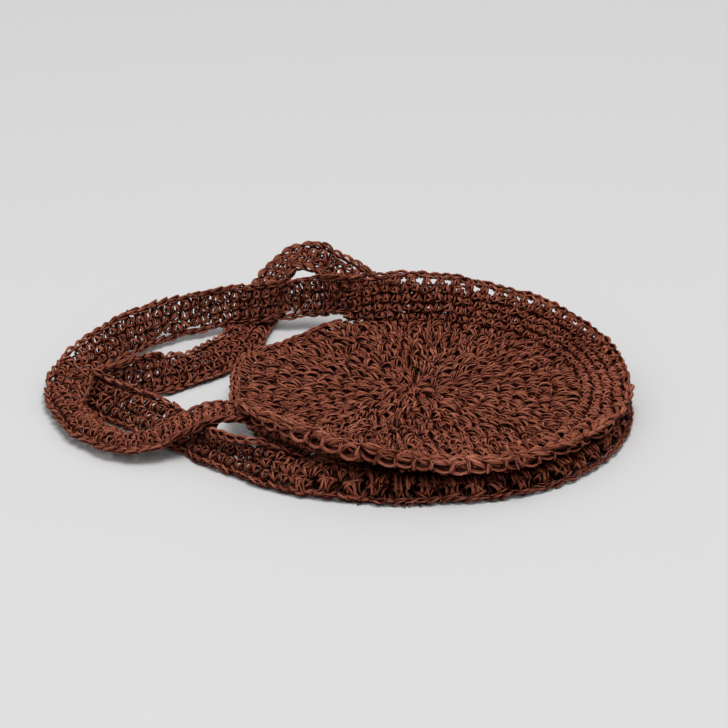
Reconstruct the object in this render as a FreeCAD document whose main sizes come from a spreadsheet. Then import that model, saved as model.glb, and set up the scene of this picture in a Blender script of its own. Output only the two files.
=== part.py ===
import FreeCAD, Part
import math
import os
import Sketcher

# Crocheted circle bag lying on its side: a lower and an upper round panel, each with a side band
# that runs on past the mouth as a loop handle. Origin: middle of the lower disc's underside.
# +X points to the closed bottom of the bag, the mouth is at -X, +Z is up.

V = FreeCAD.Vector
UP = V(0, 0, 1)

SIZES = [
    ("base_radius", 137.0, "floor edge of the lower panel"),
    ("fabric", 4.0, "thickness of the crochet"),
    ("clearance", 0.3, "gap between pieces stitched side by side"),
    ("base_chain_width", 5.5, "ridge of chain stitches round the lower disc"),
    ("base_chain_height", 4.0, "height of that ridge above the disc"),
    ("seam_diameter", 8.0, "plaited chain that joins the two side bands"),
    ("seam_low", 14.0, "height of the seam on the near side"),
    ("seam_far", 40.0, "height of the seam on the far side"),
    ("seam_inset", 4.0, "the seam lies this far inside the lower band's middle"),
    ("top_radius", 120.0, "upper disc"),
    ("top_dish", 3.0, "sag of the upper disc's middle"),
    ("top_tilt", 4.5, "the upper disc's near edge is the higher one, degrees"),
    ("top_slip", 19.0, "the upper disc has slipped towards the mouth"),
    ("far_margin", 12.0, "upper disc's far edge to the lower band"),
    ("bag_gap", 3.0, "least room between the two discs"),
    ("lower_near_root", 114.0, "lower band leaves the disc here, degrees from +X"),
    ("lower_far_root", 108.0, "the same on the far side"),
    ("upper_near_root", 151.0, "upper band leaves the disc here, degrees from +X"),
    ("upper_far_root", 117.0, "the same on the far side"),
    ("mouth_flare", 22.0, "upper band stands out this much at its near root"),
    ("mouth_rise", 13.0, "and lies this much higher there"),
    ("mouth_turn", 13.0, "and slants back along the disc there, degrees"),
    ("strap_rows", 20.0, "width of the handle's stitched rows"),
    ("edge_chain", 6.0, "width of the chain along each handle edge"),
    ("chain_thickness", 5.0, "thickness of those chains"),
    ("near_root_gap", 1.0, "upper handle's fold at its near root"),
    ("floor_gap", 0.6, "handles lie this far above the floor plane"),
]

os.makedirs("parts", exist_ok=True)
doc = FreeCAD.newDocument("circle_bag")
sheet = doc.addObject("Spreadsheet::Sheet", "Sizes")
for row, (alias, number, note) in enumerate(SIZES, start=1):
    sheet.set(f"A{row}", note)
    sheet.set(f"B{row}", str(number))
    sheet.setAlias(f"B{row}", alias)
doc.recompute()


def size(alias):
    return float(sheet.get(alias))


fabric = size("fabric")
half_fabric = fabric / 2
clearance = size("clearance")
base_radius = size("base_radius")
seam_radius = size("seam_diameter") / 2
strap_width = size("strap_rows") + 2 * size("edge_chain")

# The lower band stands just inside the chain ridge, and the seam runs along its top.
wall_radius = base_radius - size("base_chain_width") - clearance - half_fabric
top_tilt = math.radians(size("top_tilt"))
top_middle = V(
    -size("top_slip"),
    wall_radius - half_fabric - size("far_margin") - size("top_radius"),
    fabric + size("bag_gap") + half_fabric + size("top_radius") * math.sin(top_tilt),
)
mouth_x = top_middle.x - size("top_radius")
half_chain = size("chain_thickness") / 2
band_start_radius = size("top_radius") + clearance + max(half_fabric, half_chain)


def polar(radius, degrees, height):
    angle = math.radians(degrees)
    return V(radius * math.cos(angle), radius * math.sin(angle), height)


def ease(share):
    share = min(1.0, max(0.0, share))
    return share * share * (3 - 2 * share)


def mouth_share(degrees):
    # 0 along the seam, 1 at the upper band's near root.
    start = size("lower_near_root")
    return ease((-degrees - start) / (size("upper_near_root") - start))


def seam_point(degrees):
    # The seam is high on the far side, low on the near side, and flares up beside the mouth.
    lift = ((1 + math.sin(math.radians(degrees))) / 2) ** 3
    share = mouth_share(degrees)
    height = size("seam_low") + (size("seam_far") - size("seam_low")) * lift
    radius = wall_radius - size("seam_inset") + (size("mouth_flare") + size("seam_inset")) * share
    return polar(radius, degrees, height + size("mouth_rise") * share)


def top_edge_point(degrees):
    # The place on the upper disc's edge that the band at this angle grows from.
    outer = seam_point(degrees)
    turn = math.degrees(math.atan2(outer.y - top_middle.y, outer.x - top_middle.x))
    turn -= size("mouth_turn") * mouth_share(degrees)
    flat = polar(band_start_radius, turn, half_fabric)
    tilted = FreeCAD.Rotation(V(1, 0, 0), -size("top_tilt")).multVec(flat)
    return top_middle + tilted


def angles(start, end, steps):
    return [start + (end - start) * step / steps for step in range(steps + 1)]


def slab_section(inner, outer, tangent, thickness):
    # Rectangle across a band, from its inner to its outer edge.
    face = tangent.cross(outer - inner).normalize() * (thickness / 2)
    return [inner + face, outer + face, outer - face, inner - face]


def round_section(middle, tangent, radius):
    side = tangent.cross(UP).normalize()
    rise = side.cross(tangent).normalize()
    corners = []
    for corner in range(8):
        angle = math.radians(45 * corner + 22.5)
        corners.append(middle + side * (radius * math.cos(angle)) + rise * (radius * math.sin(angle)))
    return corners


def tangents(points):
    found = []
    for index in range(len(points)):
        before = points[max(0, index - 1)]
        after = points[min(len(points) - 1, index + 1)]
        found.append((after - before).normalize())
    return found


def add_solid(label, sections):
    # Skin of straight-ruled faces through matching corners of the sections, closed at both ends.
    faces = []
    for corners in (sections[0], sections[-1]):
        faces.append(Part.Face(Part.makePolygon(corners + corners[:1])))
    for here, there in zip(sections, sections[1:]):
        for index in range(len(here)):
            after = (index + 1) % len(here)
            first = Part.makeLine(here[index], here[after])
            second = Part.makeLine(there[index], there[after])
            faces.append(Part.makeRuledSurface(first, second, 1))
    shell = Part.makeShell(faces)
    shell.sewShape()
    solid = Part.makeSolid(shell)
    if solid.Volume < 0:
        solid.reverse()
    piece = doc.addObject("Part::Feature", label)
    piece.Label = label
    piece.Shape = solid
    piece.Placement = FreeCAD.Placement()
    return piece


# Body sketches

def plane(body, role):
    return next(feature for feature in body.Origin.OriginFeatures if feature.Role == role)


def add_body(label, role):
    body = doc.addObject("PartDesign::Body", label)
    body.Label = label
    sketch = body.newObject("Sketcher::SketchObject", label + "_sketch")
    sketch.AttachmentSupport = [(plane(body, role), "")]
    sketch.MapMode = "FlatFace"
    return body, sketch


def draw_profile(sketch, corners):
    # Closed outline whose corners are (across, up) expressions measured from the sketch's origin.
    spots = [[float(sketch.evalExpression(text)) for text in corner] for corner in corners]
    for index, spot in enumerate(spots):
        nxt = spots[(index + 1) % len(spots)]
        sketch.addGeometry(Part.LineSegment(V(spot[0], spot[1], 0), V(nxt[0], nxt[1], 0)), False)
    for index in range(len(spots)):
        sketch.addConstraint(Sketcher.Constraint("Coincident", index, 2, (index + 1) % len(spots), 1))
    for index, corner in enumerate(corners):
        for kind, axis, text in (("DistanceX", -2, corner[0]), ("DistanceY", -1, corner[1])):
            if text == "0":
                sketch.addConstraint(Sketcher.Constraint("PointOnObject", index, 1, axis))
                continue
            number = float(sketch.evalExpression(text))
            made = sketch.addConstraint(Sketcher.Constraint(kind, -1, 1, index, 1, number))
            sketch.setExpression(f"Constraints[{made}]", text)


def add_revolution(body, sketch, degrees):
    turned = body.newObject("PartDesign::Revolution", body.Label + "_turned")
    turned.Profile = sketch
    turned.ReferenceAxis = (sketch, ["V_Axis"])
    turned.setExpression("Angle", degrees)
    return turned


# Lower panel: disc on the floor, the chain ridge on its edge, and the standing side band

lower_disc, disc_sketch = add_body("lower_disc", "XY_Plane")
disc_sketch.addGeometry(Part.Circle(V(0, 0, 0), UP, base_radius), False)
disc_sketch.addConstraint(Sketcher.Constraint("Coincident", 0, 3, -1, 1))
disc_radius = disc_sketch.addConstraint(Sketcher.Constraint("Radius", 0, base_radius))
disc_sketch.setExpression(f"Constraints[{disc_radius}]", "Sizes.base_radius")
disc_pad = lower_disc.newObject("PartDesign::Pad", "lower_disc_pad")
disc_pad.Profile = disc_sketch
disc_pad.setExpression("Length", "Sizes.fabric")

base_chain, chain_sketch = add_body("lower_base_chain", "XZ_Plane")
draw_profile(chain_sketch, [
    ("Sizes.base_radius - Sizes.base_chain_width", "Sizes.fabric"),
    ("Sizes.base_radius", "Sizes.fabric"),
    ("Sizes.base_radius", "Sizes.fabric + Sizes.base_chain_height / 2"),
    ("Sizes.base_radius - Sizes.base_chain_width / 3", "Sizes.fabric + Sizes.base_chain_height"),
    ("Sizes.base_radius - Sizes.base_chain_width", "Sizes.fabric + Sizes.base_chain_height"),
])
add_revolution(base_chain, chain_sketch, "(Sizes.lower_near_root + Sizes.lower_far_root) * 1 deg")
base_chain.Placement = FreeCAD.Placement(V(), FreeCAD.Rotation(UP, -size("lower_near_root")))
base_chain.setExpression("Placement.Rotation.Angle", "-Sizes.lower_near_root * 1 deg")

seam_angles = angles(-size("lower_near_root"), size("lower_far_root"), 28)
seam_points = [seam_point(angle) for angle in seam_angles]
wall_offset = size("seam_inset") - half_fabric
wall_drop = math.sqrt(seam_radius ** 2 - wall_offset ** 2) + clearance
wall_feet = [polar(wall_radius, angle, fabric) for angle in seam_angles]
wall_tops = [
    polar(wall_radius, angle, point.z - wall_drop)
    for angle, point in zip(seam_angles, seam_points)
]
add_solid("lower_side_band", [
    slab_section(foot, top, tangent, fabric)
    for foot, top, tangent in zip(wall_feet, wall_tops, tangents(wall_feet))
])

# Upper panel: sagging, slightly tilted disc, its side band, and the seam that joins the bands

upper_disc, top_sketch = add_body("upper_disc", "XZ_Plane")
draw_profile(top_sketch, [
    ("0", "0"),
    ("Sizes.top_radius / 2", "Sizes.top_dish / 4"),
    ("Sizes.top_radius", "Sizes.top_dish"),
    ("Sizes.top_radius", "Sizes.top_dish + Sizes.fabric"),
    ("Sizes.top_radius / 2", "Sizes.top_dish / 4 + Sizes.fabric"),
    ("0", "Sizes.fabric"),
])
add_revolution(upper_disc, top_sketch, "360 deg")
upper_disc.Placement = FreeCAD.Placement(
    top_middle - UP * (half_fabric + size("top_dish")),
    FreeCAD.Rotation(V(1, 0, 0), -size("top_tilt")),
)

band_angles = angles(-size("upper_near_root"), size("upper_far_root"), 36)
band_inner = [top_edge_point(angle) for angle in band_angles]
band_outer = []
for inner, angle in zip(band_inner, band_angles):
    outer = seam_point(angle)
    spread = math.hypot(outer.x - top_middle.x, outer.y - top_middle.y)
    push = max(1.0, band_start_radius / spread)
    outer.x = top_middle.x + (outer.x - top_middle.x) * push
    outer.y = top_middle.y + (outer.y - top_middle.y) * push
    band_outer.append(outer - (outer - inner).normalize() * (seam_radius + clearance))
band_headings = []
for inner, outer, tangent, angle in zip(band_inner, band_outer, tangents(band_inner), band_angles):
    share = mouth_share(angle)
    level = UP.cross(outer - inner).normalize()
    band_headings.append((tangent * (1 - share) + level * share).normalize())
add_solid("upper_side_band", [
    slab_section(inner, outer, tangent, fabric)
    for inner, outer, tangent in zip(band_inner, band_outer, band_headings)
])
add_solid("rim_seam", [
    round_section(point, tangent, seam_radius)
    for point, tangent in zip(seam_points, tangents(seam_points))
])

# Loop handles: each route follows one edge of the strap, from its far root round to its near root.
# The lean turns the strap outwards from standing upright, in degrees.


def from_mouth(ahead):
    return mouth_x - ahead


def add_handle(name, start_heading, end_heading, route):
    spots = [V(*stop[:3]) for stop in route]
    lengths = [0.0]
    for before, after in zip(spots, spots[1:]):
        lengths.append(lengths[-1] + before.distanceToPoint(after))
    path = Part.BSplineCurve()
    path.interpolate(
        Points=spots, Parameters=lengths, InitialTangent=start_heading, FinalTangent=end_heading)
    stations = []
    for index in range(len(route) - 1):
        for part in range(3):
            stations.append((index, part / 3))
    stations.append((len(route) - 2, 1.0))
    lines = []
    for index, share in stations:
        along = lengths[index] + (lengths[index + 1] - lengths[index]) * share
        lean = route[index][3] + (route[index + 1][3] - route[index][3]) * ease(share)
        tangent = path.tangent(along)[0]
        side = tangent.cross(UP).normalize()
        rise = side.cross(tangent).normalize()
        turn = math.radians(lean)
        lines.append((path.value(along), tangent, rise * math.cos(turn) + side * math.sin(turn)))
    edge = size("edge_chain")
    rows_end = edge + size("strap_rows")
    layout = [
        ("inner_chain", 0, edge - clearance, size("chain_thickness")),
        ("strap", edge, rows_end, fabric),
        ("outer_chain", rows_end + clearance, strap_width, size("chain_thickness")),
    ]
    for piece, start, end, thickness in layout:
        add_solid(f"{name}_{piece}", [
            slab_section(spot + across * start, spot + across * end, tangent, thickness)
            for spot, tangent, across in lines
        ])
    print(name, "length along its inner edge", round(path.length(), 1))


def stop(x, y, low, lean):
    # A place on the route, with the lowest point of the strap's edge at this height.
    return (x, y, low + half_chain * abs(math.sin(math.radians(lean))), lean)


def root(spot, across, tangent):
    # The strap's end, in line with the band that it grows from.
    side = tangent.cross(UP).normalize()
    rise = side.cross(tangent).normalize()
    return (spot.x, spot.y, spot.z, math.degrees(math.atan2(across.dot(side), across.dot(rise))))


# The upper handle stands on its far run, lies flat round the left end, and climbs over the lower
# handle to the upper band's near root.
floor_gap = size("floor_gap")
far_in = band_inner[-1]
far_across = band_outer[-1] - far_in
far_heading = (far_in - band_inner[-2]).normalize()
near_in = band_inner[0]
near_across = band_outer[0] - near_in
near_heading = UP.cross(near_across).normalize()
far_lead = max(0.0, far_across.dot(far_heading)) + clearance
upper_start = root(far_in + far_heading * far_lead, far_across, far_heading)
upper_end = root(near_in - near_heading * size("near_root_gap"), near_across, near_heading)
add_handle("upper_handle", far_heading, near_heading, [
    upper_start,
    stop(far_in.x - 27, far_in.y + 6.5, 10, 8),
    stop(from_mouth(-9), far_in.y + 2, 9.5, 8),
    stop(from_mouth(26), far_in.y - 7, 6.5, 12),
    stop(from_mouth(59), far_in.y - 24, 3, 22),
    stop(from_mouth(83), far_in.y - 48, 1.5, 48),
    stop(from_mouth(99), far_in.y - 74, floor_gap, 74),
    stop(from_mouth(104), near_in.y + 49, floor_gap, 88),
    stop(from_mouth(98), near_in.y + 27, 1.2, 92),
    stop(from_mouth(85), near_in.y + 6, 2.5, 92),
    stop(from_mouth(66), near_in.y - 5, 5.5, 92),
    stop(from_mouth(46), near_in.y - 3, 12, 92),
    stop(from_mouth(28), near_in.y + 1, 19, 92),
    upper_end,
])

# The lower handle rises in a hump behind the upper one, passes flat under it, makes its turn
# standing inside the upper loop, and passes flat under it again on the near side.
outside = base_radius + clearance + half_chain
far_out = polar(outside, size("lower_far_root"), 7)
near_out = polar(outside, -size("lower_near_root"), floor_gap)
add_handle("lower_handle", V(-1, 0, 0.4).normalize(), V(1, 0, 0), [
    (far_out.x, far_out.y, far_out.z, 5),
    stop(far_out.x - 15, far_out.y + 9, 15, 25),
    stop(far_out.x - 37, far_out.y + 9, 26, 52),
    stop(far_out.x - 60, far_out.y + 10, 24, 45),
    stop(far_out.x - 75, far_out.y + 7, 11, 45),
    stop(far_out.x - 76, far_out.y - 6, floor_gap, 90),
    stop(from_mouth(-22), far_out.y - 28, floor_gap, 90),
    stop(from_mouth(-15), far_out.y - 44, floor_gap, 90),
    stop(from_mouth(-4), far_out.y - 62, floor_gap, 45),
    stop(from_mouth(8), far_out.y - 77, floor_gap, 8),
    stop(from_mouth(23), far_out.y - 90, floor_gap, 0),
    stop(from_mouth(56), near_in.y + 68, floor_gap, -5),
    stop(from_mouth(81), near_in.y + 56.5, floor_gap, -8),
    stop(from_mouth(92), near_in.y + 44, floor_gap, -8),
    stop(from_mouth(89), near_in.y + 29, floor_gap, -12),
    stop(from_mouth(75), near_in.y + 15, floor_gap, -24),
    stop(from_mouth(62), near_in.y + 2, floor_gap, -56),
    stop(from_mouth(50), near_in.y - 11, floor_gap, -84),
    stop(from_mouth(36), near_in.y - 25, floor_gap, -84),
    stop(from_mouth(21), near_in.y - 40, floor_gap, -70),
    stop(from_mouth(8), near_out.y + 36.5, floor_gap, -56),
    stop(from_mouth(-3), near_out.y + 27, floor_gap, -20),
    stop(from_mouth(-14), near_out.y + 19.5, floor_gap, -8),
    stop(near_out.x - 40, near_out.y + 8.5, floor_gap, -3),
    stop(near_out.x - 18, near_out.y + 2, floor_gap, -2),
    (near_out.x, near_out.y, near_out.z, -2),
])

doc.recompute()
kinds = ("PartDesign::Body", "Part::Feature")
pieces = [item for item in doc.Objects if item.TypeId in kinds]
for item in doc.Objects:
    if "Invalid" in item.State or "Error" in item.State:
        raise RuntimeError(f"{item.Label} did not build: {item.State}")
for piece in pieces:
    if piece.Shape.isNull() or not piece.Shape.isValid():
        raise RuntimeError(f"{piece.Label} has no valid shape")
for piece in pieces:
    piece.Shape.exportStep(f"parts/{piece.Label}.step")
    print(piece.Label, len(piece.Shape.Solids), "solid, volume", round(piece.Shape.Volume), "mm3")
near_fold = band_outer[0] - near_heading * size("near_root_gap") + UP * half_chain
far_fold = far_in + far_heading * far_lead + far_across.normalize() * strap_width
print("hinge of the upper handle, from", near_fold, "to", far_fold)
print("hinge of the lower handle, from", near_out, "to", far_out)
print("hinge of the mouth, at", seam_point(0) + V(seam_radius, 0, 0))
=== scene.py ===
import bpy
import math
from mathutils import Euler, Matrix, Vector


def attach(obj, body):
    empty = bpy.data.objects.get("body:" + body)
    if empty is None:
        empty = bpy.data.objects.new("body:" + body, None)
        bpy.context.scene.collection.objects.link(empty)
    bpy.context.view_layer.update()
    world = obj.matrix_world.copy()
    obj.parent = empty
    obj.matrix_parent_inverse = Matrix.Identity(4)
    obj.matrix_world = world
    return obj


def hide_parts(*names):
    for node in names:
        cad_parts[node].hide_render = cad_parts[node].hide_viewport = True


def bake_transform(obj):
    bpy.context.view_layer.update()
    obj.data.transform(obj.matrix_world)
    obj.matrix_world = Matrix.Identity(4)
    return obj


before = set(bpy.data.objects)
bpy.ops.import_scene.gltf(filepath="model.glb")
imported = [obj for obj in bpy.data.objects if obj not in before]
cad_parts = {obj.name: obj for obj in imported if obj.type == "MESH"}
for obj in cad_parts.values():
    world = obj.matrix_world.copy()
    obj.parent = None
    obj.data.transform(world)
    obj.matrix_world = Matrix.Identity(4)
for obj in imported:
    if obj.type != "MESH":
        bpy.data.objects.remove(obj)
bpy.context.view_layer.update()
mm = 0.001
up = Vector((0, 0, 1))
print("frame loaded,", len(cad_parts), "nodes")


class Wire:  # one output socket, with the maths that materials and stitches use
    def __init__(self, graph, socket):
        self.graph = graph
        self.socket = socket

    def maths(self, operation, first, second):
        return self.graph.add("ShaderNodeMath", {"operation": operation}, {0: first, 1: second})

    def __add__(self, other):
        return self.maths("ADD", self, other)

    def __sub__(self, other):
        return self.maths("SUBTRACT", self, other)

    def __rsub__(self, other):
        return self.maths("SUBTRACT", other, self)

    def __mul__(self, other):
        return self.maths("MULTIPLY", self, other)


class Graph:  # adds nodes to a tree
    def __init__(self, tree):
        self.tree = tree

    def add(self, kind, settings=None, sockets=None, out=0):
        node = self.tree.nodes.new(kind)
        for name, value in (settings or {}).items():
            if name == "stops":
                ramp = node.color_ramp.elements
                while len(ramp) < len(value):
                    ramp.new(0.5)
                for element, (place, colour) in zip(ramp, value):
                    element.position = place
                    element.color = (*colour, 1)
            else:
                setattr(node, name, value)
        for key, value in (sockets or {}).items():
            if isinstance(value, Wire):
                self.tree.links.new(value.socket, node.inputs[key])
            else:
                node.inputs[key].default_value = value
        return Wire(self, node.outputs[out]) if node.outputs else node


# raffia: twisted paper, streaked along each strand, every strand a little different

raffia = {
    # colours from painted shade in the gaps up to a painted lit colour on the open backs of the strands,
    # each at its level
    "colours": [
        (0.06, (0.014, 0.0014, 0.0005)), (0.32, (0.09, 0.0145, 0.006)),
        (0.58, (0.26, 0.066, 0.032)), (0.86, (0.56, 0.2, 0.125))],
    # what raises and lowers that level: painted shade in gaps, fold valleys and strand ends, and the
    # raffia's own streaks, tone and patches
    "foldShadeLevel": 0.26, "streakLevel": 0.9, "toneLevel": 0.2, "patchLevel": 0.25, "gapShadeLevel": 0.8,
    "endShadeLevel": 0.2, "darker": 0.92,
    "roughness": 0.7, "streakGloss": 0.35, "specular": 0.15,
    "streakScale": 2.2, "streakDetail": 3.0, "streakRoughness": 0.6, "streakStretch": 0.5, "toneShift": 60,
    "patchScale": 28.0, "patchDetail": 2.0,
    "bumpStrength": 0.6, "bumpDepth": 0.0003, "gapReach": 0.006, "gapSamples": 8,
}


def raffiaMaterial():
    material = bpy.data.materials.new("raffia")
    material.use_nodes = True
    tree = material.node_tree
    tree.nodes.clear()
    graph = Graph(tree)

    def stored(name, out="Fac"):
        return graph.add("ShaderNodeAttribute", {"attribute_name": name}, out=out)

    runs, fold, tone = stored("runs"), stored("fold"), stored("tone")
    apart = graph.add("ShaderNodeSeparateXYZ", {}, {0: stored("ring", "Vector")})
    across = Wire(graph, apart.socket.node.outputs["Y"])
    place = graph.add("ShaderNodeCombineXYZ", {}, {
        0: apart, 1: across, 2: runs * raffia["streakStretch"] + tone * raffia["toneShift"]})
    streak = graph.add("ShaderNodeTexNoise", {}, {
        "Vector": place, "Scale": raffia["streakScale"], "Detail": raffia["streakDetail"],
        "Roughness": raffia["streakRoughness"]}, out="Fac")
    where = graph.add("ShaderNodeTexCoord", out="Object")
    patch = graph.add("ShaderNodeTexNoise", {}, {
        "Vector": where, "Scale": raffia["patchScale"], "Detail": raffia["patchDetail"]}, out="Fac")
    # painted shade: ambient occlusion darkens the colour in the gaps between strands and under neighbouring
    # strands
    clear = graph.add("ShaderNodeAmbientOcclusion", {"samples": raffia["gapSamples"]}, {
        "Distance": raffia["gapReach"]}, out="AO")
    # painted shade: each strand's colour darkens towards its ends, where it tucks into the fabric
    tucked = (runs * 2 - 1) * (runs * 2 - 1)  # 1 at a strand's ends, 0 at its middle
    # painted shade in the valleys of each strand's folds and painted light on its ridges, from the fold
    # attribute
    level = fold * raffia["foldShadeLevel"] + streak * raffia["streakLevel"] + tone * raffia["toneLevel"]
    level = level + patch * raffia["patchLevel"] + clear * raffia["gapShadeLevel"]
    level = level - tucked * tucked * raffia["endShadeLevel"] - raffia["darker"]
    colour = graph.add("ShaderNodeValToRGB", {"stops": raffia["colours"]}, {0: level})
    bump = graph.add("ShaderNodeBump", {}, {
        "Strength": raffia["bumpStrength"], "Distance": raffia["bumpDepth"], "Height": streak})
    rough = raffia["roughness"] - streak * raffia["streakGloss"]
    shader = graph.add("ShaderNodeBsdfPrincipled", {}, {
        "Base Color": colour, "Roughness": rough, "Normal": bump, "Specular IOR Level": raffia["specular"]})
    graph.add("ShaderNodeOutputMaterial", {}, {0: shader})
    return material


raffiaSkin = raffiaMaterial()
print("raffia mixed,", len(raffia["colours"]), "colours")

# stitches: strands as (start, middle, end); x in widths along the row, y in heights, z in mm

stitches = {
    "vee": {
        "width": 7.4, "height": 8.0, "strand": 2.3,
        "strands": [
            ((-0.02, -0.64, -1.8), (-0.10, 0.05, 5.8), (-0.40, 0.46, -1.0)),
            ((-0.14, -0.54, -1.6), (-0.34, 0.02, 4.4), (-0.56, 0.26, -1.2)),
            ((0.08, -0.60, -1.8), (0.22, 0.00, 5.4), (0.44, 0.42, -1.0)),
            ((0.20, -0.44, -1.4), (0.40, 0.10, 4.2), (0.56, 0.50, -1.0)),
            ((-0.30, 0.10, 0.4), (0.00, 0.50, 4.0), (0.36, 0.30, 0.2)),
            ((-0.55, 0.34, -1.4), (0.00, 0.40, -0.6), (0.55, 0.36, -1.4)),
            ((0.00, 0.56, -0.2), (-0.16, 0.00, -5.4), (-0.42, -0.46, 0.2)),
            ((0.06, 0.56, -0.2), (0.24, 0.00, -5.4), (0.46, -0.46, 0.2)),
            ((0.18, 0.48, 0.0), (0.38, 0.00, -4.2), (0.58, -0.34, 0.2)),
        ],
    },
    "chain": {
        "width": 8.0, "height": 6.0, "strand": 2.5,
        "strands": [
            ((-0.64, -0.24, -0.6), (0.00, -0.66, 3.4), (0.58, 0.04, 0.6)),
            ((-0.50, -0.06, -0.4), (0.10, -0.28, 4.2), (0.70, 0.06, 0.8)),
            ((-0.64, 0.24, -0.6), (0.00, 0.66, 3.4), (0.58, -0.04, 0.6)),
            ((-0.54, 0.30, -0.4), (0.00, 0.36, 3.0), (0.62, 0.10, 0.4)),
            ((-0.56, -0.24, -0.4), (0.00, 0.00, -4.0), (0.56, 0.22, -0.4)),
            ((-0.56, 0.24, -0.4), (0.00, 0.10, -3.4), (0.56, -0.22, -0.4)),
        ],
    },
    "tall": {
        "width": 6.6, "height": 9.2, "strand": 1.9,
        "strands": [
            ((-0.08, -0.74, -1.6), (-0.28, -0.05, 5.6), (-0.40, 0.60, -0.8)),
            ((0.04, -0.80, -1.4), (0.00, 0.00, 6.4), (-0.06, 0.70, -0.6)),
            ((0.06, -0.70, -1.8), (0.30, 0.00, 5.2), (0.28, 0.66, -0.8)),
            ((-0.38, 0.16, -1.0), (0.06, 0.56, 5.4), (0.50, 0.30, -1.0)),
            ((-0.22, -0.56, -0.6), (0.00, 0.00, -5.6), (-0.12, 0.56, -0.6)),
            ((0.26, -0.52, -0.6), (0.34, 0.00, -5.0), (0.24, 0.52, -0.6)),
        ],
    },
    "loop": {
        "width": 12.0, "height": 10.0, "strand": 2.5,
        "strands": [
            ((-0.62, -0.08, 0.2), (0.00, -0.86, 3.8), (0.60, 0.02, 0.4)),
            ((-0.52, -0.04, 0.0), (0.10, -1.06, 2.2), (0.56, -0.12, 0.2)),
            ((-0.54, -0.20, -0.4), (-0.10, -0.64, 5.0), (0.50, -0.06, -0.4)),
            ((-0.40, -0.30, 0.4), (-0.04, -1.10, 1.0), (0.34, -0.46, 0.6)),
            ((-0.62, 0.08, 0.2), (0.00, 0.74, 3.8), (0.60, 0.00, 0.4)),
            ((-0.56, 0.38, 0.2), (-0.46, 0.00, 4.8), (-0.48, -0.34, 0.4)),
            ((-0.42, 0.32, 0.2), (-0.52, 0.02, 5.4), (-0.60, -0.32, 0.4)),
            ((-0.52, 0.14, -1.8), (0.00, 0.12, -4.0), (0.52, 0.14, -1.8)),
            ((-0.52, -0.24, -1.8), (0.00, -0.22, -4.0), (0.52, -0.24, -1.8)),
        ],
    },
    "post": {
        "width": 10.6, "height": 8.0, "strand": 2.7,
        "strands": [
            ((-0.10, -0.62, -0.6), (-0.18, 0.00, 3.8), (-0.30, 0.52, -0.2)),
            ((0.10, -0.62, -0.6), (0.18, 0.00, 3.8), (0.28, 0.52, -0.2)),
            ((-0.16, -0.58, -0.2), (0.04, 0.10, 4.6), (0.12, 0.58, 0.0)),
            ((0.04, -0.60, -0.2), (-0.02, 0.10, -4.0), (0.00, 0.56, 0.0)),
            ((-0.44, -0.46, 0.0), (0.00, -0.60, 2.6), (0.46, -0.46, 0.0)),
            ((-0.50, 0.50, 0.0), (0.00, 0.42, 2.6), (0.50, 0.52, 0.0)),
        ],
    },
    "fan": {
        "width": 14.0, "height": 10.5, "strand": 2.4,
        "strands": [
            ((-0.24, -0.58, -0.4), (-0.12, 0.00, 4.2), (-0.42, 0.50, -0.4)),
            ((-0.20, -0.62, -0.4), (0.06, 0.05, 4.8), (0.10, 0.56, -0.2)),
            ((0.18, -0.62, -0.4), (0.00, 0.05, 4.4), (-0.16, 0.54, -0.2)),
            ((0.26, -0.56, -0.4), (0.12, 0.00, 4.0), (0.46, 0.46, -0.4)),
            ((-0.34, -0.50, -0.2), (0.00, -0.64, 3.4), (0.32, -0.52, -0.2)),
            ((-0.54, 0.40, -0.6), (0.00, 0.52, 2.4), (0.54, 0.42, -0.6)),
            ((-0.54, 0.14, -0.8), (-0.26, 0.52, 3.6), (0.26, 0.30, 0.0)),
            ((-0.30, 0.50, -0.6), (-0.10, 0.00, -4.6), (0.00, -0.58, -0.6)),
            ((0.30, 0.50, -0.6), (0.12, 0.00, -4.6), (0.02, -0.58, -0.6)),
        ],
    },
}

# section: three paper folds, each strand twisted a little and narrowed where it tucks in
strandShape = {"steps": 4, "sides": 6, "valley": 0.48, "twist": 1.5, "pinch": 0.4, "turnEach": 0.7}

# how far a stitch, and each strand in it, strays, in shares of Wander and of Turn
stray = {
    "stitchShift": (1, 1.5, 0.6), "stitchTwist": (0.5, 0.5, 1),
    "strandShift": (0.4, 0.4, 0.4), "strandTwist": (0.3, 0.3, 0.5),
    "stitchSeeds": (1, 2), "strandSeeds": (10, 13, 15), "seedStep": 7,
}


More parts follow.
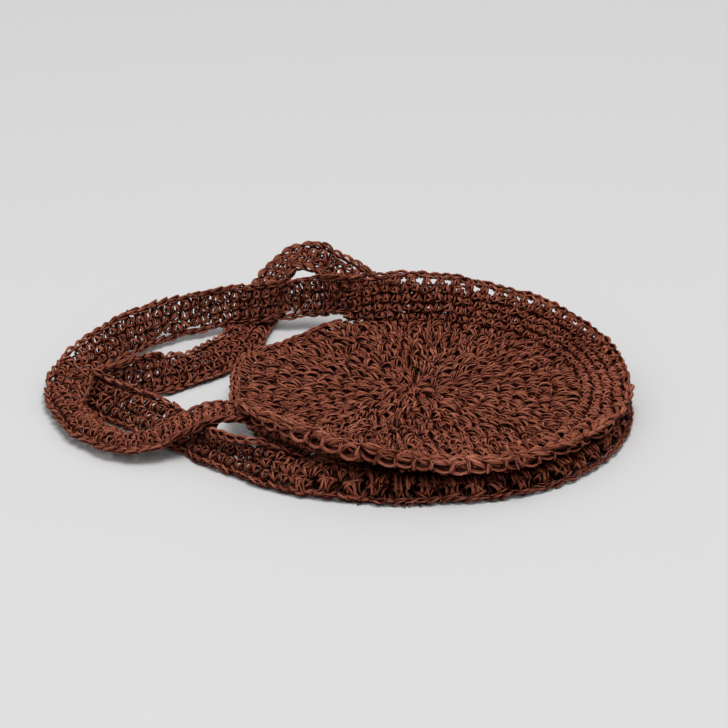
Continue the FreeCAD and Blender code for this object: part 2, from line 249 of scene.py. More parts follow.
def stitchTree(name):
    kind = stitches[name]
    tree = bpy.data.node_groups.new(name + "Stitch", "GeometryNodeTree")
    for label, sort in (("Rows", "Geometry"), ("Strand", "Float"), ("Wander", "Float"),
                        ("Turn", "Float"), ("Seed", "Int"), ("Material", "Material")):
        tree.interface.new_socket(label, in_out="INPUT", socket_type="NodeSocket" + sort)
    tree.interface.new_socket("Stitches", in_out="OUTPUT", socket_type="NodeSocketGeometry")
    graph = Graph(tree)
    inputs = tree.nodes.new("NodeGroupInput").outputs
    given = {socket.name: Wire(graph, socket) for socket in inputs if socket.name}

    def named(label, sort="FLOAT_VECTOR"):
        return graph.add("GeometryNodeInputNamedAttribute", {"data_type": sort}, {"Name": label})

    def store(geometry, label, value, sort="FLOAT", domain="POINT"):
        return graph.add("GeometryNodeStoreNamedAttribute", {"data_type": sort, "domain": domain}, {
            "Geometry": geometry, "Name": label, "Value": value})

    def vary(reach, amount, seed):
        low = tuple(-part for part in reach)
        found = graph.add("FunctionNodeRandomValue", {"data_type": "FLOAT_VECTOR"}, {
            0: low, 1: reach, "Seed": given["Seed"] + seed})
        return graph.add("ShaderNodeVectorMath", {"operation": "SCALE"}, {0: found, "Scale": amount})

    def both(first, second):
        return graph.add("ShaderNodeVectorMath", {"operation": "ADD"}, {0: first, 1: second})

    lines = graph.add("GeometryNodeMeshToCurve", {}, {0: given["Rows"]})
    spots = graph.add("GeometryNodeResampleCurve", {"mode": "COUNT"}, {
        "Curve": lines, "Count": named("stitches", "INT")})
    turn = graph.add("FunctionNodeAxesToRotation", {"primary_axis": "Z", "secondary_axis": "X"}, {
        "Primary Axis": named("facing"), "Secondary Axis": named("along")})
    fit = named("fit")
    profile = graph.add("GeometryNodeCurvePrimitiveCircle", {}, {
        "Resolution": strandShape["sides"], "Radius": 1.0})
    corner = graph.add("GeometryNodeInputIndex")
    valley = corner.maths("MODULO", corner, 2.0)  # every second corner is drawn in
    circle = graph.add("GeometryNodeInputPosition")
    profile = store(profile, "ring", circle, "FLOAT_VECTOR")
    # fold is 1 on the ridges and 0 in the valleys; the raffia material paints shade into the valleys with it
    profile = store(profile, "fold", 1 - valley)
    folded = graph.add("ShaderNodeVectorMath", {"operation": "SCALE"}, {
        0: circle, "Scale": 1 - valley * strandShape["valley"]})
    profile = graph.add("GeometryNodeSetPosition", {}, {"Geometry": profile, "Position": folded})
    thick = graph.add("ShaderNodeCombineXYZ", {}, {axis: given["Strand"] for axis in range(3)})
    profile = graph.add("GeometryNodeTransform", {}, {"Geometry": profile, "Scale": thick})
    joined = tree.nodes.new("GeometryNodeJoinGeometry")
    stitchShift = vary(stray["stitchShift"], given["Wander"], stray["stitchSeeds"][0])
    stitchTwist = vary(stray["stitchTwist"], given["Turn"], stray["stitchSeeds"][1])
    scale = Vector((kind["width"] * mm, kind["height"] * mm, mm))
    for number, points in enumerate(kind["strands"]):
        shiftSeed, twistSeed, toneSeed = [number * stray["seedStep"] + seed for seed in stray["strandSeeds"]]
        ends = [Vector(point) * scale for point in points]
        path = graph.add("GeometryNodeCurveQuadraticBezier", {}, {
            "Resolution": strandShape["steps"], "Start": ends[0], "Middle": ends[1], "End": ends[2]})
        factor = graph.add("GeometryNodeSplineParameter")
        path = store(path, "runs", factor)
        middle = factor * 2 - 1
        path = graph.add("GeometryNodeSetCurveRadius", {}, {
            "Curve": path, "Radius": 1 - middle * middle * strandShape["pinch"]})
        twist = strandShape["twist"] * (1 if number % 2 else -1)
        path = graph.add("GeometryNodeSetCurveTilt", {}, {
            "Curve": path, "Tilt": factor * twist + number * strandShape["turnEach"]})
        strand = graph.add("GeometryNodeCurveToMesh", {}, {
            "Curve": path, "Profile Curve": profile, "Fill Caps": True})
        strand = graph.add("GeometryNodeSetShadeSmooth", {}, {"Geometry": strand})
        placed = graph.add("GeometryNodeInstanceOnPoints", {}, {
            "Points": spots, "Instance": strand, "Rotation": turn, "Scale": fit})
        shift = both(stitchShift, vary(stray["strandShift"], given["Wander"], shiftSeed))
        placed = graph.add("GeometryNodeTranslateInstances", {}, {"Instances": placed, "Translation": shift})
        twist = both(stitchTwist, vary(stray["strandTwist"], given["Turn"], twistSeed))
        twist = graph.add("FunctionNodeEulerToRotation", {}, {0: twist})
        placed = graph.add("GeometryNodeRotateInstances", {}, {"Instances": placed, "Rotation": twist})
        tone = graph.add("FunctionNodeRandomValue", {"data_type": "FLOAT"}, {
            2: 0.0, 3: 1.0, "Seed": given["Seed"] + toneSeed}, out=1)
        placed = store(placed, "tone", tone, domain="INSTANCE")
        tree.links.new(placed.socket, joined.inputs[0])
    whole = graph.add("GeometryNodeRealizeInstances", {}, {0: Wire(graph, joined.outputs[0])})
    whole = graph.add("GeometryNodeSetMaterial", {}, {"Geometry": whole, "Material": given["Material"]})
    output = tree.nodes.new("NodeGroupOutput")
    tree.links.new(whole.socket, output.inputs[0])
    return tree


stitchTrees = {name: stitchTree(name) for name in stitches}
print("stitch trees made:", ", ".join(stitchTrees))


def rowOf(surface, share, name, start=0.0, end=1.0, samples=120,
          closed=False, rows=1.0, wide=1.0, turned=False):
    # one row of stitches along a surface(s, t), at the height share t; rows is its share of the height
    kind = stitches[name]
    points, alongs, facings, talls = [], [], [], []
    reach = 0.02  # how far up and down the surface's slope is felt
    step = 0.5 / samples
    total = samples if closed else samples + 1
    for index in range(total):
        s = start + (end - start) * index / samples
        along = surface(s + step, share) - surface(s - step, share)
        across = surface(s, share + reach) - surface(s, share - reach)
        points.append(surface(s, share))
        alongs.append(along.normalized())
        facings.append((across.cross(along) if turned else along.cross(across)).normalized())
        talls.append(across.length / (2 * reach) * rows / kind["height"])
    length = sum((b - a).length for a, b in zip(points, points[1:]))
    if closed:
        length += (points[0] - points[-1]).length
    number = max(3, round(length / (kind["width"] * wide)))
    stretch = length / number / kind["width"]
    return {"points": points, "along": alongs, "facing": facings, "closed": closed, "stitches": number,
            "fit": [Vector((stretch, tall, 1)) for tall in talls]}


def crochet(name, stitch, rows, seed, wander=0.6, turn=0.34, strand=None):
    verts, edges = [], []
    layers = {"along": [], "facing": [], "fit": []}
    counts = []
    for row in rows:
        first = len(verts)
        verts += [point * mm for point in row["points"]]
        edges += [(first + n, first + n + 1) for n in range(len(row["points"]) - 1)]
        if row["closed"]:
            edges.append((len(verts) - 1, first))
        for label in layers:
            layers[label] += row[label]
        counts += [row["stitches"]] * len(row["points"])
    lines = bpy.data.meshes.new(name + "Rows")
    lines.from_pydata(verts, edges, [])
    for label, values in layers.items():
        layer = lines.attributes.new(label, "FLOAT_VECTOR", "POINT")
        layer.data.foreach_set("vector", [part for value in values for part in value])
    lines.attributes.new("stitches", "INT", "POINT").data.foreach_set("value", counts)
    holder = bpy.data.objects.new(name + "Rows", lines)
    bpy.context.collection.objects.link(holder)
    modifier = holder.modifiers.new("stitches", "NODES")
    modifier.node_group = stitchTrees[stitch]
    values = {"Strand": (strand or stitches[stitch]["strand"]) / 2 * mm, "Wander": wander * mm,
              "Turn": turn, "Seed": seed, "Material": raffiaSkin}
    for item in modifier.node_group.interface.items_tree:
        if item.in_out == "INPUT" and item.name in values:
            modifier[item.identifier] = values[item.name]
    bpy.context.view_layer.update()
    depsgraph = bpy.context.evaluated_depsgraph_get()
    mesh = bpy.data.meshes.new_from_object(holder.evaluated_get(depsgraph), depsgraph=depsgraph)
    holder.modifiers.remove(modifier)
    bpy.data.objects.remove(holder)
    mesh.name = name
    print(name, sum(row["stitches"] for row in rows), "stitches,", len(mesh.polygons), "faces")
    piece = bpy.data.objects.new(name, mesh)
    bpy.context.collection.objects.link(piece)
    return piece


def polar(radius, degrees, height):
    angle = math.radians(degrees)
    return Vector((radius * math.cos(angle), radius * math.sin(angle), height))


def ease(share):
    share = min(1.0, max(0.0, share))
    return share * share * (3 - 2 * share)


def mix(first, second, share):
    return first * (1 - share) + second * share


def growth(row, x):
    # grows from 0 at start to an amount over a span; a negative span runs the other way
    amount, start, span = row
    return amount * ease((x - start) / span)


def bumps(rows, x):
    # smooth bumps as (amount, middle, reach)
    return sum(amount * ease(1 - abs(x - middle) / reach) for amount, middle, reach in rows)


def fromTable(table, x):
    # smooth curve through (x, y) rows
    n = max(m for m in range(len(table) - 1) if table[m][0] <= x or m == 0)
    (x0, y0), (x1, y1) = table[n], table[n + 1]
    before = table[n - 1] if n else (2 * x0 - x1, y0)
    after = table[n + 2] if n + 2 < len(table) else (2 * x1 - x0, y1)
    u = (x - x0) / (x1 - x0)
    p = (y1 - before[1]) / (x1 - before[0]) * (x1 - x0)
    q = (after[1] - y0) / (after[0] - x0) * (x1 - x0)
    return y0 + u * (p + u * (3 * (y1 - y0) - 2 * p - q + u * (2 * (y0 - y1) + p + q)))


# the bag's body: two round panels and the folded side band between them; angles in degrees from +x

bag = {
    "wallRadius": 129.2, "seamInset": 4, "seamLow": 14, "seamFar": 37, "seamCurve": 2.2,
    "seamRise": (7, 80, 35), "seamHigher": [(3.4, 28, 44), (-3, 68, 18)],
    "seamWider": [(9, -2, 55), (5, 80, 50)],
    "mouthFlare": 22, "mouthRise": 13, "mouthTurn": 13,
    "lowerNearRoot": 114, "lowerFarRoot": 108, "upperNearRoot": 151, "upperFarRoot": 117,
    "topMiddle": Vector((-19, -4.8, 0)), "topRadius": 120, "topLow": 16, "topDish": 2.4,
    "fabric": 4, "bandStart": 1.023,
    # the upper panel's edge by heading from its middle: reach, then height
    "topReach": [
        (-180, 123), (-165, 126), (-150, 129), (-135, 127), (-125, 125), (-109, 124), (-92, 124), (-78, 123),
        (-60, 121), (0, 120), (40, 119), (65, 115), (90, 113), (117, 116), (135, 120), (150, 123),
        (165, 124), (180, 123)],
    "topEdge": [
        (-180, 22), (-165, 24), (-152, 32), (-141, 40), (-126, 42), (-109, 37), (-92, 33), (-78, 29),
        (-60, 24), (-40, 20), (-20, 18), (0, 17), (30, 14), (60, 12), (90, 11), (103, 12), (116, 15),
        (125, 12), (135, 9), (147, 12), (160, 17), (180, 22)],
    # the fold at the front by direction from the lower panel's middle: reach, then height
    "foldReach": [
        (-151, 150), (-139, 146), (-130, 142), (-122, 139), (-107, 134.5), (-87, 133), (-46, 131.5),
        (-20, 133), (10, 135), (40, 133)],
    "foldHeight": [
        (-151, 38), (-139, 43), (-130, 43), (-116, 39), (-100, 35.5), (-87, 31.5), (-66, 28), (-46, 25.5),
        (-27, 22), (-10, 20), (10, 20), (40, 24)],
    "foldLeast": 0.02, "foldFlat": (0.98, -90, 110), "foldMeets": (1, -10, 35),
    # under the fold the band goes over a lip and back into a recess
    "lipOut": 4, "lipDrop": 8, "lipThinner": (0.5, -90, 70), "lipMore": (4, -100, -25),
    "recess": 26, "recessFrom": 0.2, "recessSpan": 0.3,
    "ridgeStart": 4, "ridgeWide": 8, "ridgeSlope": 0.3, "nearStart": 14,
}


def mouthShare(degrees):
    return ease((-degrees - bag["lowerNearRoot"]) / (bag["upperNearRoot"] - bag["lowerNearRoot"]))


def nearShare(degrees):
    # 1 where the side band is folded into the recess at the front
    front = ease((-math.sin(math.radians(degrees)) - bag["recessFrom"]) / bag["recessSpan"])
    return front * (1 - mouthShare(degrees))


def seamPoint(degrees):
    lift = ((1 + math.sin(math.radians(degrees))) / 2) ** bag["seamCurve"]
    share = mouthShare(degrees)
    height = bag["seamLow"] + (bag["seamFar"] - bag["seamLow"]) * lift
    height += growth(bag["seamRise"], degrees) + bumps(bag["seamHigher"], degrees)
    radius = bag["wallRadius"] - bag["seamInset"] + (bag["mouthFlare"] + bag["seamInset"]) * share
    radius += bumps(bag["seamWider"], degrees)
    return polar(radius, degrees, height + bag["mouthRise"] * share)


def onTop(radius, degrees, lift=0.0):
    # a place on the upper panel's middle surface
    heading = (degrees + 180) % 360 - 180
    share = radius / bag["topRadius"]
    wide = share * fromTable(bag["topReach"], heading)
    height = bag["topLow"] + (fromTable(bag["topEdge"], heading) - bag["topLow"]) * share ** bag["topDish"]
    return bag["topMiddle"] + polar(wide, degrees, height + lift)


def topEdge(degrees):
    outer = seamPoint(degrees)
    turn = math.degrees(math.atan2(outer.y - bag["topMiddle"].y, outer.x - bag["topMiddle"].x))
    turn -= bag["mouthTurn"] * mouthShare(degrees)
    return onTop(bag["bandStart"] * bag["topRadius"], turn, bag["fabric"] / 2)


def inwards(degrees):
    return -polar(1, degrees, 0)


def bent(points, share):
    # a place along two straight runs of equal share
    if share < 0.5:
        return mix(points[0], points[1], share * 2)
    return mix(points[1], points[2], share * 2 - 1)


def foldShare(degrees):
    # how much of the upper panel's side band lies flat, inside the fold
    return bag["foldLeast"] + growth(bag["foldFlat"], degrees)


def foldPoint(degrees):
    raised = polar(fromTable(bag["foldReach"], degrees), degrees, fromTable(bag["foldHeight"], degrees))
    return mix(raised, seamPoint(degrees), growth(bag["foldMeets"], degrees))


def overhang(degrees, share):
    # from the fold down over the lip and back under it
    thinner = 1 - growth(bag["lipThinner"], degrees)
    fold, outer = foldPoint(degrees), seamPoint(degrees)
    lipOut = bag["lipOut"] * thinner + growth(bag["lipMore"], degrees)
    lip = fold - inwards(degrees) * lipOut - up * (bag["lipDrop"] * thinner)
    under = bent((fold, lip, outer + inwards(degrees) * bag["recess"]), share)
    return mix(mix(fold, outer, share), under, nearShare(degrees))


def upperBand(s, t):
    degrees = -bag["upperNearRoot"] + (bag["upperNearRoot"] + bag["upperFarRoot"]) * s
    flat = foldShare(degrees)
    if t > flat:
        return overhang(degrees, (t - flat) / (1 - flat))
    return mix(topEdge(degrees), foldPoint(degrees), t / flat)


def nearBand(s, t):
    return overhang(-bag["nearStart"] - (bag["upperNearRoot"] - bag["nearStart"]) * s, t)


def foldRope(s, t):
    degrees = -bag["ridgeStart"] - (bag["upperNearRoot"] - bag["ridgeStart"]) * s
    slope = overhang(degrees, bag["ridgeSlope"]) - topEdge(degrees)
    return foldPoint(degrees) + slope.normalized() * (bag["ridgeWide"] * (t - 0.5))


# discs: rounds of tall stitches, the lower one running out to its handle's near root

discs = {
    "upperRounds": 13, "upperInner": 9, "upperWander": 1.3, "upperTurn": 0.6, "upperSeeds": (11, 23),
    "lowerRounds": 9, "lowerRadius": 133, "lowerHeight": 2.4, "lowerSeed": 12,
    "nearFlare": (12, -116, 32), "fewest": 9, "samples": 24, "moreSamples": 10,
}


def upperPanel(s, t):
    return onTop(bag["topRadius"] * t, -360 * s)


def lowerPanel(s, t):
    degrees = (360 * s + 180) % 360 - 180
    radius = discs["lowerRadius"] + bumps([discs["nearFlare"]], degrees)
    return polar(radius * t, degrees, discs["lowerHeight"])


def rounds(surface, radius, count):
    made = []
    for number in range(count):
        middle = (number + 0.5) / count
        row = rowOf(surface, middle, "tall", samples=discs["samples"] + discs["moreSamples"] * number,
                    closed=True, rows=1 / count)
        around = 2 * math.pi * radius * middle
        row["stitches"] = max(discs["fewest"], round(around / stitches["tall"]["width"]))
        made.append(row)
    return made


discRounds = rounds(upperPanel, bag["topRadius"], discs["upperRounds"])
upperDisc, upperDiscOuter = [
    crochet(name, "tall", part, seed, wander=discs["upperWander"], turn=discs["upperTurn"])
    for name, part, seed in zip(
        ("upperDiscRounds", "upperDiscOuterRounds"),
        (discRounds[:discs["upperInner"]], discRounds[discs["upperInner"]:]), discs["upperSeeds"])]
lowerDisc = crochet("lowerDiscRounds", "tall", rounds(
    lowerPanel, discs["lowerRadius"], discs["lowerRounds"]), discs["lowerSeed"])

# lower side band: a rope on the floor, an open row of fans and two close rows above them

lowerSide = {
    "footOut": 1, "footHeight": 5, "footWider": [(6, -40, 80), discs["nearFlare"]],
    "ropeOut": 2.6, "ropeDown": 2, "ropeWide": 3, "ropeStrand": 2.0, "ropeRows": 0.8, "ropeSeed": 13,
    "farDrop": (9, 10, 30), "lipIn": 5, "lipUp": 9, "tuck": 6,
    "fans": 0.20, "fanRows": 0.44, "fanWander": 0.9, "fanTurn": 0.44, "vees": (0.58, 0.85), "veeRows": 0.28,
    "samples": 60,
    # each sector is made as separate pieces, each listed with a start and an end point between the lower
    # panel and the upper one
    "near": ((-114, -79), (-79, -44), (-44, -9)), "nearSeed": 14, "seedStep": 4,
    "bendStart": {"radius": 131, "height": 3}, "bendEnd": {"radius": 110, "height": 15},
    "farStart": -9, "farSeed": 26, "farBend": (5, 34),
}


def lowerDegrees(s):
    return -bag["lowerNearRoot"] + (bag["lowerNearRoot"] + bag["lowerFarRoot"]) * s


def footPoint(degrees):
    radius = bag["wallRadius"] + lowerSide["footOut"] + bumps(lowerSide["footWider"], degrees)
    return polar(radius, degrees, lowerSide["footHeight"])


def footRope(s, t):
    degrees = lowerDegrees(s)
    wide = lowerSide["ropeWide"] * (t - 0.5)
    return footPoint(degrees) + polar(lowerSide["ropeOut"] + wide, degrees, -lowerSide["ropeDown"] - wide)


def lowerBand(s, t):
    degrees = lowerDegrees(s)
    foot, outer = footPoint(degrees), seamPoint(degrees) - up * growth(lowerSide["farDrop"], degrees)
    lip = foot + inwards(degrees) * lowerSide["lipIn"] + up * lowerSide["lipUp"]
    folded = bent((foot, lip, outer + inwards(degrees) * bag["recess"] - up * lowerSide["tuck"]), t)
    return mix(mix(foot, outer, t), folded, nearShare(degrees))


baseChain = crochet("baseChain", "chain", [
    rowOf(footRope, 0.5, "chain", rows=lowerSide["ropeRows"], turned=True)],
    lowerSide["ropeSeed"], strand=lowerSide["ropeStrand"])


def lowerRows(name, low, high, seed):
    # the lower half of the side band between two directions: open fans, then two close rows
    start, end = [(degrees + bag["lowerNearRoot"]) / (bag["lowerNearRoot"] + bag["lowerFarRoot"])
                  for degrees in (low, high)]
    fans = crochet(name + "Fans", "fan", [
        rowOf(lowerBand, lowerSide["fans"], "fan", start, end, rows=lowerSide["fanRows"],
              samples=lowerSide["samples"])],
        seed, wander=lowerSide["fanWander"], turn=lowerSide["fanTurn"])
    vees = crochet(name + "Vees", "vee", [
        rowOf(lowerBand, share, "vee", start, end, rows=lowerSide["veeRows"], samples=lowerSide["samples"])
        for share in lowerSide["vees"]], seed + 1)
    return fans, vees


lowerParts = []  # (piece, start, end) of the bend from the lower panel to the upper one
for number, (low, high) in enumerate(lowerSide["near"]):
    bendStart, bendEnd = [polar(lowerSide[label]["radius"], (low + high) / 2, lowerSide[label]["height"])
                          for label in ("bendStart", "bendEnd")]
    for piece in lowerRows("lowerBandNear" + str(number + 1), low, high,
                           lowerSide["nearSeed"] + lowerSide["seedStep"] * number):
        lowerParts.append((piece, bendStart, bendEnd))
for piece in lowerRows("lowerBandFar", lowerSide["farStart"], bag["lowerFarRoot"], lowerSide["farSeed"]):
    lowerParts.append((piece, *[Vector((0, 0, height)) for height in lowerSide["farBend"]]))

# upper side band: ridge, loops and close rows at the front, flat rows and an open one at the back

upperSide = {
    "samples": 80, "nearEnd": 0.96,
    "ridge": {"rows": 0.9, "wide": 1.4}, "ridgeStrand": 2.7, "ridgeTurn": 0.24,
    "loops": {"share": 0.24, "start": 0.12, "end": 0.955, "rows": 0.56}, "loopWander": 0.9,
    "under": 0.70, "underRows": 0.26, "fans": 0.90,
    "flat": ((0.06, 1.01), (0.27, 1.0), (0.48, 1.0), (0.69, 1.0)), "flatRows": 0.22, "flatGap": 0.06,
    "flatSearch": range(-100, 60),
    "rowWander": 0.8, "rowTurn": 0.46, "open": 0.88, "openRows": 0.2,
    "mouthRadius": 119, "mouthWide": 6, "mouthFrom": 205, "mouthSpan": 88, "mouthLift": 1,
    "edge": 0.97, "edgeEnd": -112, "edgeRows": 0.2,
    "seamStart": 108, "seamWide": 8, "seamRows": 0.7, "seamStrand": 2.1, "seamTurn": 0.2,
}


def bandShare(degrees):
    return (degrees + bag["upperNearRoot"]) / (bag["upperNearRoot"] + bag["upperFarRoot"])


def flatRow(share, rows, stitch="vee", end=1.0):
    # a row of the band from where it comes out of the fold to the far handle
    start = next(n for n in upperSide["flatSearch"] if foldShare(n) > share + upperSide["flatGap"])
    return rowOf(upperBand, share, stitch, bandShare(start), end, rows=rows, turned=True)


def mouthRope(s, t):
    radius = upperSide["mouthRadius"] + upperSide["mouthWide"] * (t - 0.5)
    return onTop(radius, upperSide["mouthFrom"] - upperSide["mouthSpan"] * s, upperSide["mouthLift"])


def seamRope(s, t):
    degrees = -upperSide["seamStart"] + (upperSide["seamStart"] + bag["lowerFarRoot"]) * s
    tucked = inwards(degrees) * (bag["recess"] * nearShare(degrees))
    return seamPoint(degrees) + tucked + up * (upperSide["seamWide"] * (t - 0.5))


ridge = crochet("ridgeChain", "chain", [
    rowOf(foldRope, 0.5, "chain", samples=upperSide["samples"], **upperSide["ridge"])],
    seed=16, strand=upperSide["ridgeStrand"], turn=upperSide["ridgeTurn"])
upperLoops = crochet("upperBandLoops", "loop", [
    rowOf(nearBand, name="loop", samples=upperSide["samples"], **upperSide["loops"])],
    seed=17, wander=upperSide["loopWander"])
underRows = [
    rowOf(nearBand, upperSide[label], stitch, 0.0, upperSide["nearEnd"], rows=upperSide["underRows"],
          samples=upperSide["samples"]) for label, stitch in (("under", "vee"), ("fans", "fan"))]
upperRows = crochet("upperBandRows", "vee", underRows[:1] + [
    flatRow(share, upperSide["flatRows"], end=end) for share, end in upperSide["flat"]],
    seed=20, wander=upperSide["rowWander"], turn=upperSide["rowTurn"])
upperFans = crochet("upperBandFans", "fan", underRows[1:], seed=18)
openRow = crochet("upperBandOpenRow", "post", [
    flatRow(upperSide["open"], upperSide["openRows"], "post")], seed=24)
mouthEdge = crochet("mouthEdgeChain", "chain", [rowOf(mouthRope, 0.5, "chain", samples=60)], seed=21)
bandEdge = crochet("bandEdgeChain", "chain", [
    rowOf(upperBand, upperSide["edge"], "chain", 0.0, bandShare(upperSide["edgeEnd"]),
          rows=upperSide["edgeRows"], samples=40, turned=True)], seed=22)
seam = crochet("seamChain", "chain", [rowOf(seamRope, 0.5, "chain", rows=upperSide["seamRows"])],
               seed=19, strand=upperSide["seamStrand"], turn=upperSide["seamTurn"])

# loop handles: stops along one edge as (x, y, height, lean from upright, further lean of the other half);
# rows of stitches as (share of the width, start, end, turned over)

strap = {
    "width": 32, "shares": (0.285, 0.5, 0.715), "rows": 0.24, "wander": 0.75, "turn": 0.46, "strand": 2.1,
    "chains": (("InnerChain", 0.09), ("OuterChain", 0.91)),
    "chainRows": 0.16, "chainTurn": 0.22, "chainStrand": 2.2, "samples": 240,
}
upperLoop = {
    "seed": 31, "start": Vector((-0.969, -0.246, 0.019)), "end": Vector((0.994, 0.112, 0)),
    "stops": [
        (-57.6, 111.6, 17, 0.5), (-84, 117.5, 11.5, 8), (-130, 114.5, 7.4, 8), (-165, 107, 4.6, 12),
        (-198.5, 89.5, 3, 22), (-222.5, 63, 3.4, 48), (-240.5, 38, 3, 70, 6), (-245.5, 10, 3.1, 76, 18),
        (-239.5, -10.5, 3.3, 71, 26), (-225, -39.5, 4.2, 68, 32), (-205, -52.5, 6.8, 70, 28),
        (-185, -47.5, 14.8, 75, 16), (-165, -42, 23, 82, 6), (-137, -43.5, 28, 86)],
    "rows": [(share, 0, 1, True) for share in strap["shares"]],
}
lowerLoop = {
    "seed": 41, "start": Vector((-0.928, 0, 0.371)), "end": Vector((1, 0, 0)),
    "stops": [
        (-41, 128.5, 5, 12), (-52, 134.5, 5, 20), (-65, 141, 11, 32), (-83, 142, 32, 68),
        (-99, 142, 38.5, 86), (-108, 138, 20, 92), (-115, 122, 3.1, 78), (-121, 97, 3.1, 80),
        (-130.5, 73.5, 2.8, 79), (-138.2, 61, 2.6, 75), (-147, 47.5, 2.4, 72), (-161.2, 34.5, 2, 70),
        (-175.8, 25, 1.6, 62), (-190.1, 16.5, 1.2, 38), (-206, 14, 1, 10), (-222, 10, 1, -4),
        (-236.5, 3, 1.2, -6), (-243, -7, 1.5, -12), (-239, -17.2, 1.8, -28), (-228, -28, 2, -40),
        (-206.2, -45, 2.4, -46), (-184, -65, 2.2, -60), (-173, -73, 2.2, -66, 24),
        (-162, -85, 2.2, -56, 66), (-147, -95.5, 2.2, -50, 70), (-136, -103.5, 2, -46, 56),
        (-125, -112, 1.8, -42, 10), (-97, -126, 1.8, -34, -50), (-75, -132.5, 1.8, -34, -50),
        (-57, -135, 1.8, -36, -48)],
    # the strap turns over at the left and ends in two rows above the fans
    "rows": [(share, 0, 0.575, True) for share in strap["shares"]]
    + [(share, 0.565, 0.935, False) for share in strap["shares"]]
    + [(0.6, 0.93, 1, False), (0.78, 0.93, 1, False)],
    "fans": {"share": 0.26, "start": 0.93, "end": 1.0, "rows": 0.36}, "fanSeed": 47,
}


def loopSurface(loop):
    spots = [Vector(stop[:3]) for stop in loop["stops"]]
    leans = [(stop[3], stop[3] + (stop[4] if len(stop) > 4 else 0)) for stop in loop["stops"]]
    gaps = [(b - a).length for a, b in zip(spots, spots[1:])]
    marks = [sum(gaps[:n]) for n in range(len(spots))]
    slopes = [loop["start"]]
    for n in range(1, len(spots) - 1):
        before = (spots[n] - spots[n - 1]) / gaps[n - 1]
        after = (spots[n + 1] - spots[n]) / gaps[n]
        slopes.append((before * gaps[n] + after * gaps[n - 1]) / (gaps[n] + gaps[n - 1]))
    slopes.append(loop["end"])

    def surface(s, t):
        far = s * marks[-1]
        n = max(m for m in range(len(gaps)) if marks[m] <= max(far, 0))
        u = (far - marks[n]) / gaps[n]
        a, b, p, q = spots[n], spots[n + 1], slopes[n] * gaps[n], slopes[n + 1] * gaps[n]
        place = a * (1 + 2 * u) * (1 - u) ** 2 + p * u * (1 - u) ** 2
        place += b * u * u * (3 - 2 * u) + q * u * u * (u - 1)
        tangent = a * 6 * u * (u - 1) + p * (1 - u) * (1 - 3 * u) + b * 6 * u * (1 - u) + q * u * (3 * u - 2)
        tangent.normalize()
        side = tangent.cross(up).normalized()
        rise = side.cross(tangent).normalized()
        for lean, further, wide in zip(leans[n], leans[n + 1], (min(t, 0.5), max(t - 0.5, 0))):
            lean = math.radians(lean + (further - lean) * ease(u))
            place += (rise * math.cos(lean) + side * math.sin(lean)) * (strap["width"] * wide)
        return place

    return surface


def handle(name, loop):
    surface = loopSurface(loop)
    chains = [crochet(name + label, "chain", [
        rowOf(surface, share, "chain", rows=strap["chainRows"], samples=strap["samples"], turned=True)],
        loop["seed"] + n, strand=strap["chainStrand"], turn=strap["chainTurn"])
        for n, (label, share) in enumerate(strap["chains"])]
    rows = [
        rowOf(surface, share, "vee", start, end, samples=strap["samples"], rows=strap["rows"], turned=turned)
        for share, start, end, turned in loop["rows"]]
    middle = crochet(name + "Rows", "vee", rows, loop["seed"] + 2,
                     wander=strap["wander"], turn=strap["turn"], strand=strap["strand"])
    return chains[0], middle, chains[1]


upperInner, upperStrap, upperOuter = handle("upperHandle", upperLoop)
lowerInner, lowerStrap, lowerOuter = handle("lowerHandle", lowerLoop)
lowerFans = crochet("lowerHandleFans", "fan", [  # the side band's open row runs on into the strap
    rowOf(loopSurface(lowerLoop), name="fan", samples=40, **lowerLoop["fans"])],
    lowerLoop["fanSeed"], wander=lowerSide["fanWander"], turn=lowerSide["fanTurn"])

# what each piece rides on and which nodes it stands for

carried = [
    (upperDisc, "upper_panel", "upper_disc"),
    (upperDiscOuter, "upper_panel", "upper_disc"),
    (upperLoops, "upper_panel", "upper_side_band"),
    (upperRows, "upper_panel", "upper_side_band"),
    (upperFans, "upper_panel", "upper_side_band"),
    (openRow, "upper_panel", "upper_side_band"),
    (ridge, "upper_panel", "upper_disc"),
    (mouthEdge, "upper_panel", "upper_disc"),
    (bandEdge, "upper_panel", "upper_side_band"),
    (seam, "upper_panel", "rim_seam"),
    (lowerDisc, "lower_panel", "lower_disc"),
    (baseChain, "lower_panel", "lower_base_chain"),
]
for piece, body, node in carried:
    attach(piece, body)
    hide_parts(node)

# fabric that crosses a joint is baked in place where it was built and the node it stands for is hidden; the
# hinge lines and the spans before and after them are listed but not used
hinges = {
    "upper": {"near": Vector((-133.7, -69.2, 0)), "far": Vector((-57.6, 111.9, 0)),
              "before": -5, "after": 16,
              "pieces": ((upperInner, "inner_chain"), (upperStrap, "strap"), (upperOuter, "outer_chain"))},
    "lower": {"near": Vector((-56.9, -127.7, 0)), "far": Vector((-43.2, 133, 0)),
              "before": -4, "after": 22,
              "pieces": ((lowerInner, "inner_chain"), (lowerStrap, "strap"), (lowerOuter, "outer_chain"),
                         (lowerFans, "strap"))},
}
bends = [(piece, "lower_panel", "upper_panel", start, end, "lower_side_band")
         for piece, start, end in lowerParts]
for side, hinge in hinges.items():
    outwards = up.cross(hinge["far"] - hinge["near"]).normalized()
    for piece, part in hinge["pieces"]:
        bends.append((piece, side + "_panel", side + "_handle", hinge["near"] + outwards * hinge["before"],
                      hinge["near"] + outwards * hinge["after"], side + "_handle_" + part))
for piece, first, second, start, end, node in bends:
    start * mm
    end * mm
    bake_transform(piece)
    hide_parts(node)
print("pieces placed,", len(carried), "on one body,", len(bends), "across a joint")

# table, light and camera

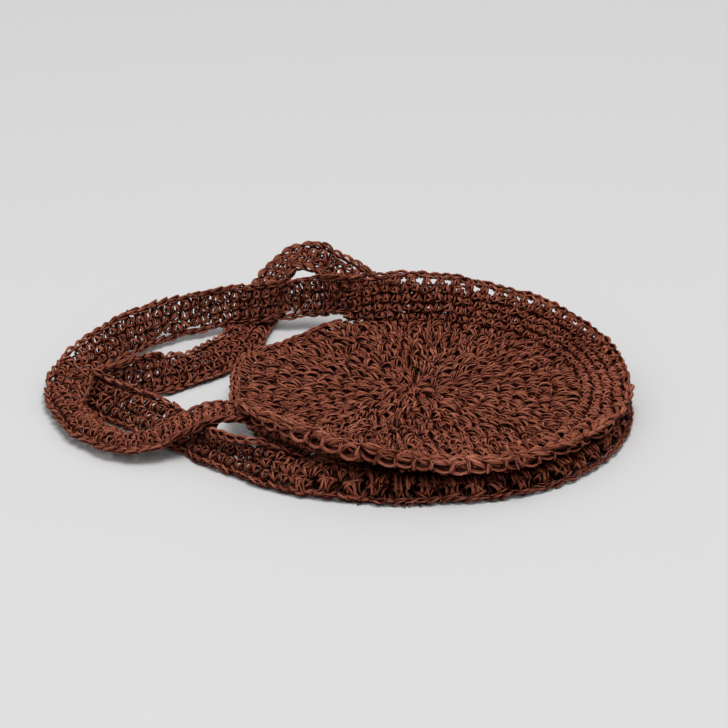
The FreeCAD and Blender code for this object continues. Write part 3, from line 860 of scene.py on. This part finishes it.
studio = {
    "table": (0.7, 0.7, 0.7), "tableReach": 6, "tableRoughness": 0.7, "tableSpecular": 0.2,
    "world": 0.12, "overhead": 0.55, "lightsAim": Vector((-0.05, 0, 0)),
    "key": {"place": Vector((0.3, -0.7, 4.0)), "watts": 92, "size": 1.8},
    "fill": {"place": Vector((-0.9, -0.5, 1.4)), "watts": 2.0, "size": 1.2},
    "aim": Vector((-0.0504, 0.0648, 0)), "distance": 2.62, "elevation": 28.0, "lens": 180.0,
}


def tableMaterial():
    material = bpy.data.materials.new("table")
    material.use_nodes = True
    tree = material.node_tree
    tree.nodes.clear()
    graph = Graph(tree)
    shader = graph.add("ShaderNodeBsdfPrincipled", {}, {
        "Base Color": (*studio["table"], 1), "Roughness": studio["tableRoughness"],
        "Specular IOR Level": studio["tableSpecular"]})
    graph.add("ShaderNodeOutputMaterial", {}, {0: shader})
    return material


tableMesh = bpy.data.meshes.new("table")
corners = [(x * studio["tableReach"], y * studio["tableReach"], 0)
           for x, y in ((-1, -1), (1, -1), (1, 1), (-1, 1))]
tableMesh.from_pydata(corners, [], [(0, 1, 2, 3)])
tableMesh.materials.append(tableMaterial())
table = bpy.data.objects.new("table", tableMesh)
bpy.context.collection.objects.link(table)

world = bpy.data.worlds.new("studio")
world.use_nodes = True
background = world.node_tree.nodes["Background"]
sky = Graph(world.node_tree)  # soft light from overhead, little from the sides
height = sky.add("ShaderNodeSeparateXYZ", {}, {0: sky.add("ShaderNodeTexCoord", out="Generated")}, out="Z")
overhead = height.maths("MAXIMUM", height, 0.0)
light = overhead * studio["overhead"] + studio["world"]
world.node_tree.links.new(light.socket, background.inputs["Strength"])
background.inputs["Color"].default_value = (1, 1, 1, 1)
bpy.context.scene.world = world


def softBox(name, values):
    light = bpy.data.lights.new(name, "AREA")
    light.energy = values["watts"]
    light.size = values["size"]
    lamp = bpy.data.objects.new(name, light)
    lamp.location = values["place"]
    lamp.rotation_euler = (studio["lightsAim"] - values["place"]).to_track_quat("-Z", "Y").to_euler()
    bpy.context.collection.objects.link(lamp)


softBox("keyLight", studio["key"])
softBox("fillLight", studio["fill"])

tilt = math.radians(studio["elevation"])
camera = bpy.data.objects.new("camera", bpy.data.cameras.new("camera"))
camera.data.lens = studio["lens"]
camera.location = studio["aim"] + Vector((0, -math.cos(tilt), math.sin(tilt))) * studio["distance"]
camera.rotation_euler = Euler((math.pi / 2 - tilt, 0, 0))
bpy.context.collection.objects.link(camera)
bpy.context.scene.camera = camera
bpy.context.scene.view_settings.view_transform = "Standard"
print("studio ready")
